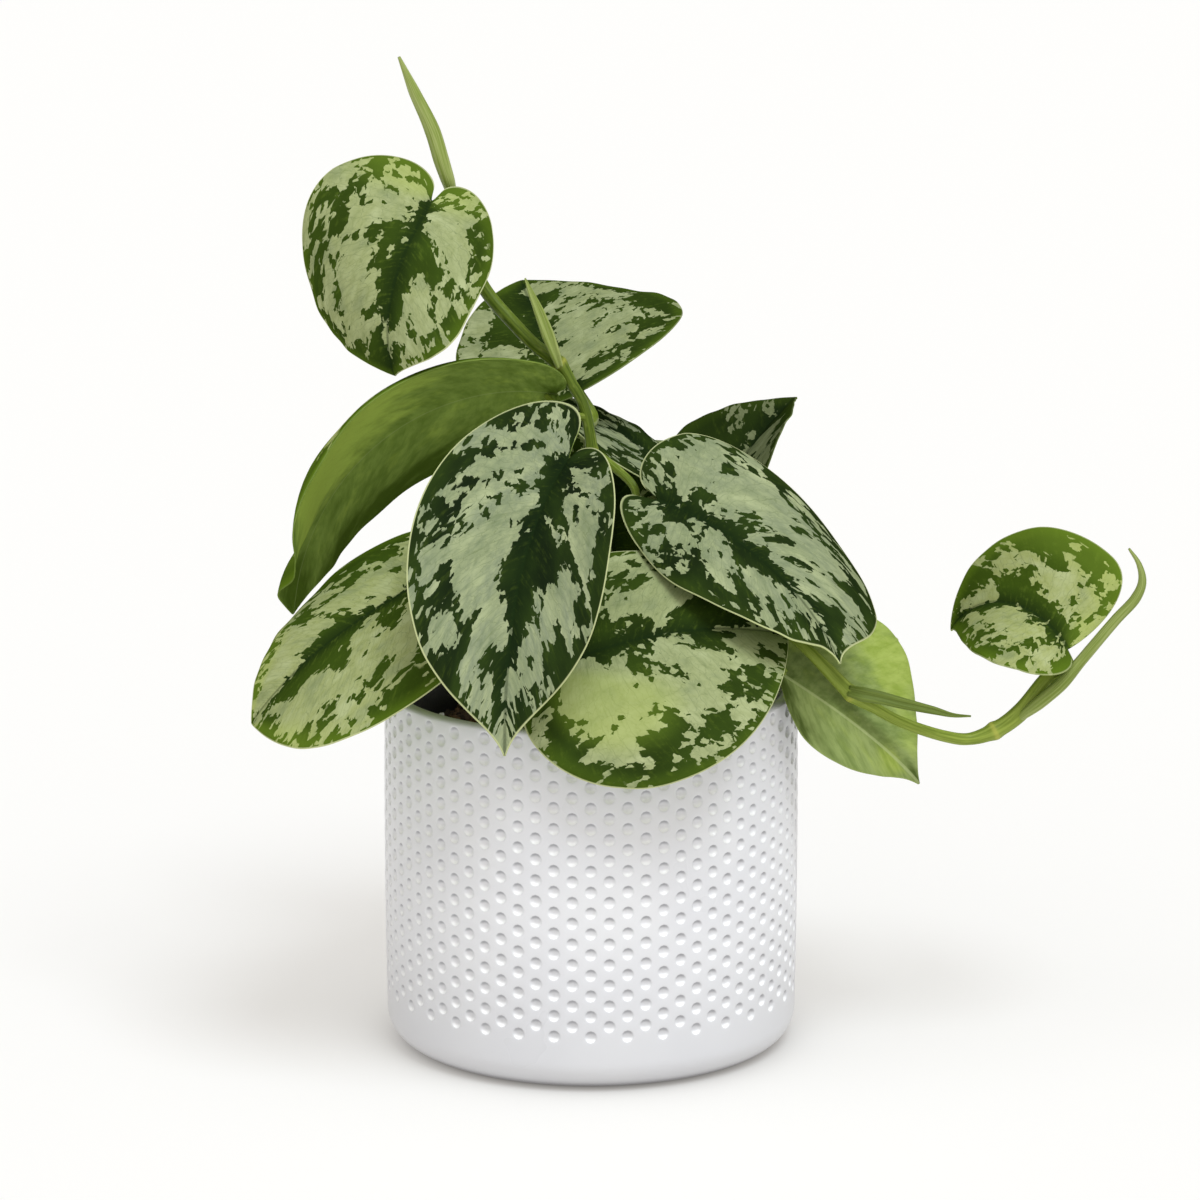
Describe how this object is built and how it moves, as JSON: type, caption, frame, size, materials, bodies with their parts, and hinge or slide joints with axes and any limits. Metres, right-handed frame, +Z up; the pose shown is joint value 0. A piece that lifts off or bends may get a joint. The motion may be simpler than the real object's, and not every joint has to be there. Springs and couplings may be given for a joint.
{
  "type": "potted satin pothos plant",
  "caption": "Silver-marked pothos with a climbing and a trailing vine, heart-shaped leaves and rolled new leaves, growing in a nursery pot inside a dimpled white ceramic pot.",
  "frame": {"origin": "centre of the ceramic pot's flat base, on the surface that it stands on", "axes": "+Z up along the pot's axis, +X to the side that the trailing vine leaves on, -Y towards the front leaf"},
  "size_m": [0.2758, 0.1998, 0.3104],
  "materials": {
    "glaze": "satin white glaze",
    "nursery_plastic": "matt black",
    "soil": "loose dark potting mix",
    "stem": "smooth green stem",
    "young_leaf": "pale rolled leaf and papery sheath",
    "blade": "satin, dark green marked with silver",
    "blade_underside": "satin, silver-marked top and plain green underside"
  },
  "bodies": {
    "root": {"ceramic_pot": "glaze", "grow_pot": "nursery_plastic", "potting_soil": "soil", "climbing_vine": "stem", "trailing_vine": "stem", "climbing_sheath": "young_leaf", "climbing_new_leaf": "young_leaf", "trailing_sheath": "young_leaf", "trailing_new_leaf": "young_leaf", "petiole_low_left": "stem", "petiole_front": "stem", "petiole_over_rim": "stem", "petiole_centre_back": "stem", "petiole_back_right": "stem", "petiole_rear_left": "stem", "petiole_rear_middle": "stem", "petiole_rear_right": "stem", "leaf_top_left": "blade", "leaf_upper_back": "blade", "leaf_arching": "blade_underside", "leaf_low_left": "blade", "leaf_front": "blade", "leaf_over_rim": "blade", "leaf_right_front": "blade", "leaf_back_right": "blade", "leaf_centre_back": "blade", "leaf_right_hanging": "blade_underside", "leaf_far_right": "blade", "leaf_rear_left": "blade", "leaf_rear_middle": "blade", "leaf_rear_right": "blade"}
  },
  "joints": []
}
